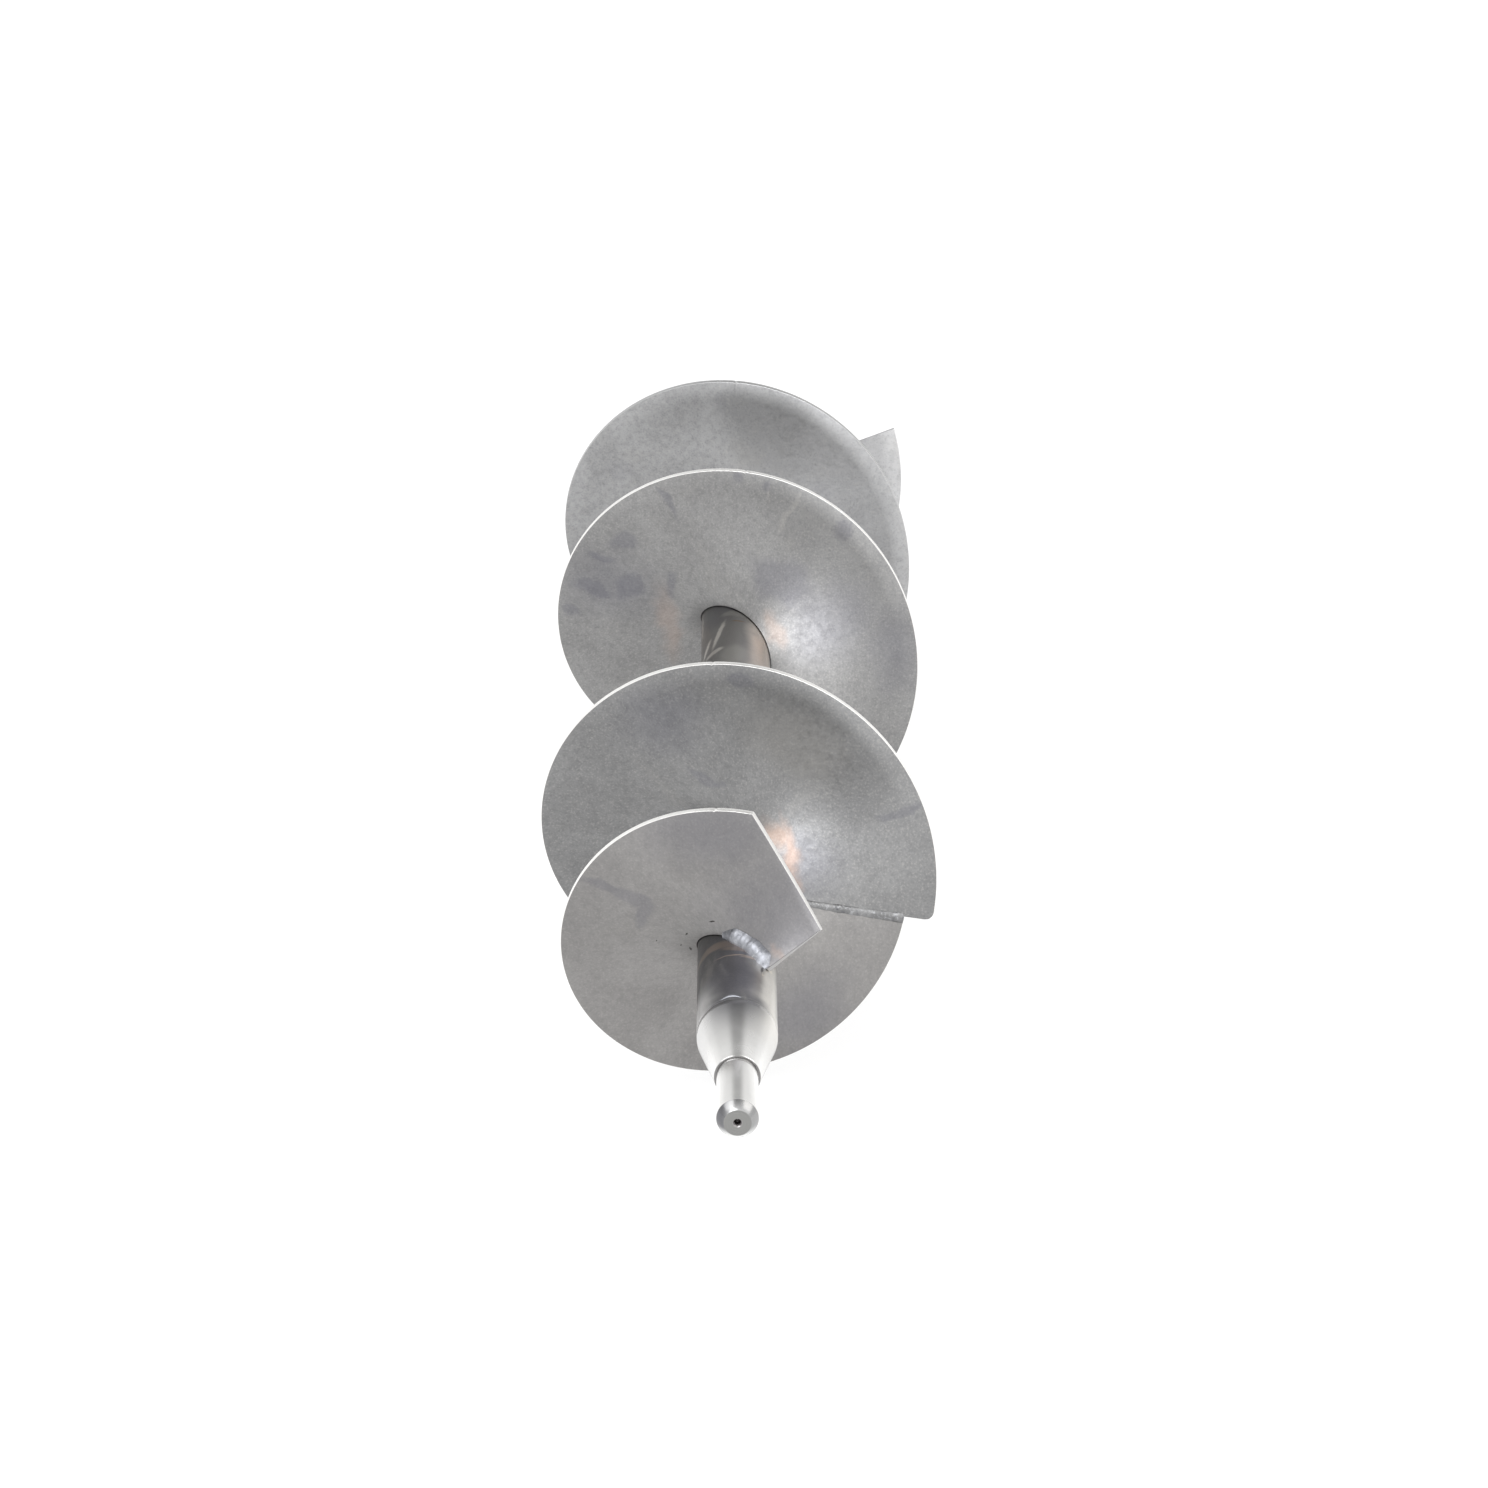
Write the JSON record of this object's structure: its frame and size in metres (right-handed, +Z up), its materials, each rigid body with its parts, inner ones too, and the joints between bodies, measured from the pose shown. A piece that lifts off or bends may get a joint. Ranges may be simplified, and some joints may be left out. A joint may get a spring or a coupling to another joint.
{
  "type": "mortar mixing screw",
  "caption": "Welded steel screw for mixing and moving mortar: a shaft with a turned front journal, a small leading flight, larger flights and a drive end with two flats.",
  "frame": {"origin": "on the shaft's axis, halfway between the front and rear ends of the screw", "axes": "+Y along the shaft from the front journal to the rear drive end, +Z up, +X to the right seen from the front"},
  "size_m": [0.21, 1.04, 0.21],
  "materials": {
    "rolled_steel": "cold drawn tube, dull grey, heat stained beside the welds",
    "machined_steel": "turned bright steel with fine tool marks",
    "plate_steel": "hot rolled plate, fine grey grain with mill scale blotches",
    "weld_metal": "rippled blue-grey weld bead"
  },
  "bodies": {
    "root": {"shaft_tube": "rolled_steel", "front_journal_stub": "machined_steel", "rear_drive_stub": "machined_steel", "front_girth_weld": "weld_metal", "rear_girth_weld": "weld_metal", "front_flight": "plate_steel", "main_flight": "plate_steel", "rear_flight_1": "plate_steel", "rear_flight_2": "plate_steel", "rear_flight_3": "plate_steel", "front_main_butt_weld": "weld_metal", "rear_butt_weld_1": "weld_metal", "rear_butt_weld_2": "weld_metal", "front_flight_root_weld": "weld_metal", "main_flight_root_weld": "weld_metal", "rear_flight_1_root_weld": "weld_metal", "rear_flight_2_root_weld": "weld_metal", "rear_flight_3_root_weld": "weld_metal", "front_start_stitch_weld": "weld_metal", "main_end_stitch_weld": "weld_metal", "rear_start_stitch_weld": "weld_metal", "rear_end_stitch_weld": "weld_metal"}
  },
  "joints": []
}
